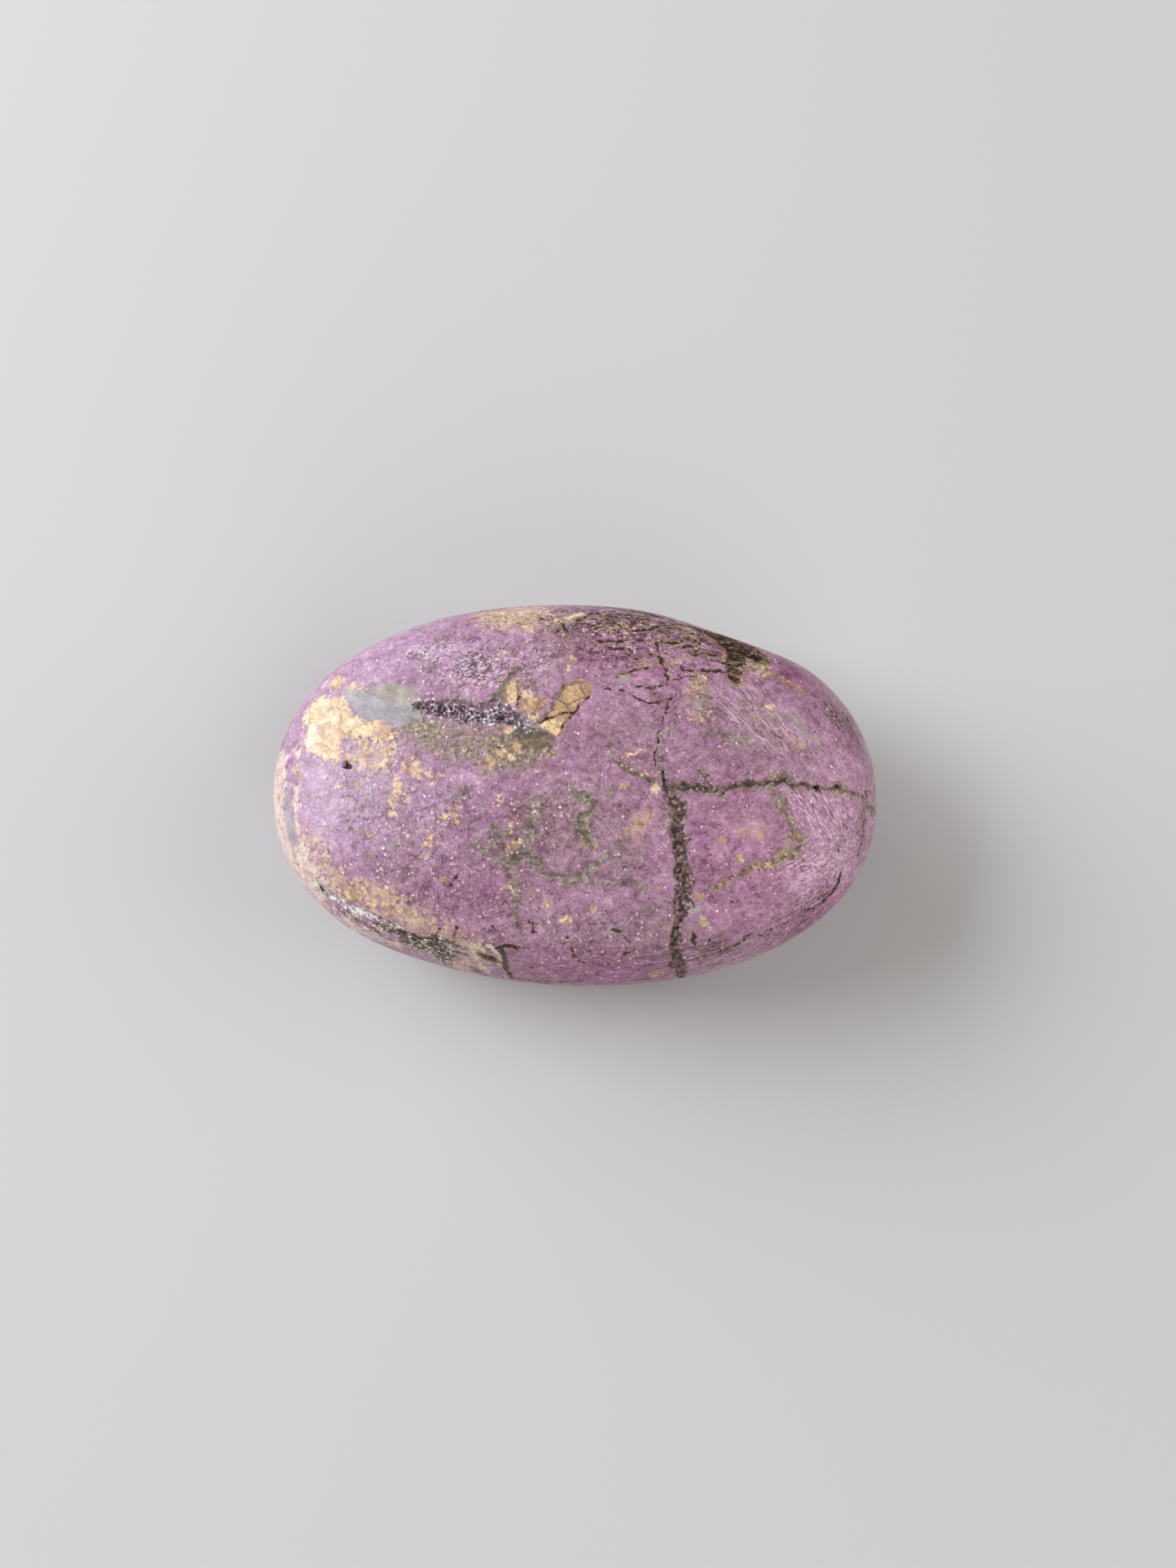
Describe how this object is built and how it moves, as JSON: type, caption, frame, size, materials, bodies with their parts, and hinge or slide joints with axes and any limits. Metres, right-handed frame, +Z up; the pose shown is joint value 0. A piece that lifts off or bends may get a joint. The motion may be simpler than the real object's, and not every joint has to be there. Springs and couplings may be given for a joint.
{
  "type": "purpurite palm stone",
  "caption": "Oval palm stone of polished purple purpurite: domed top, open dark veins, a crystal-lined hollow, cream and olive patches, and a small flat to rest on.",
  "frame": {"origin": "on the resting flat, under the middle of the stone", "axes": "+X along the stone, +Y across it, away from the camera in the picture, +Z up out of the resting flat"},
  "size_m": [0.066, 0.0422, 0.0243],
  "materials": {
    "purpurite": "hand-polished satin"
  },
  "bodies": {
    "root": {"purpurite_stone": "purpurite"}
  },
  "joints": []
}
